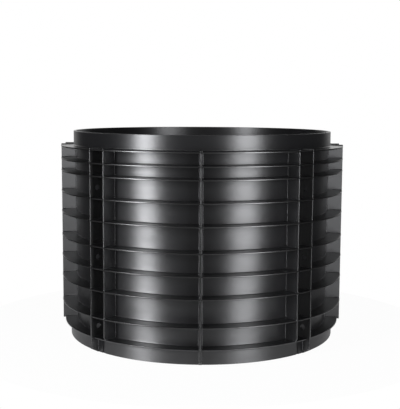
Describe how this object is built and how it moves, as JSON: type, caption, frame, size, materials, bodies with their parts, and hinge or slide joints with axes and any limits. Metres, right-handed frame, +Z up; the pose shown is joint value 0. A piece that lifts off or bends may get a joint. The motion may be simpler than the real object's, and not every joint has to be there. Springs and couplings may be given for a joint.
{
  "type": "manhole riser ring",
  "caption": "Moulded plastic riser ring for a manhole: round wall with a spigot on top, a socket collar at the foot, encircling flanges and upright ribs.",
  "frame": {"origin": "middle of the foot of the socket collar, on the level the ring stands on", "axes": "+Z up along the bore; -Y towards the front rib, +X towards the right flank"},
  "size_m": [0.694, 0.694, 0.5],
  "materials": {
    "moulded_plastic": "semi-gloss, as moulded, black"
  },
  "bodies": {
    "root": {"riser_ring": "moulded_plastic"}
  },
  "joints": []
}
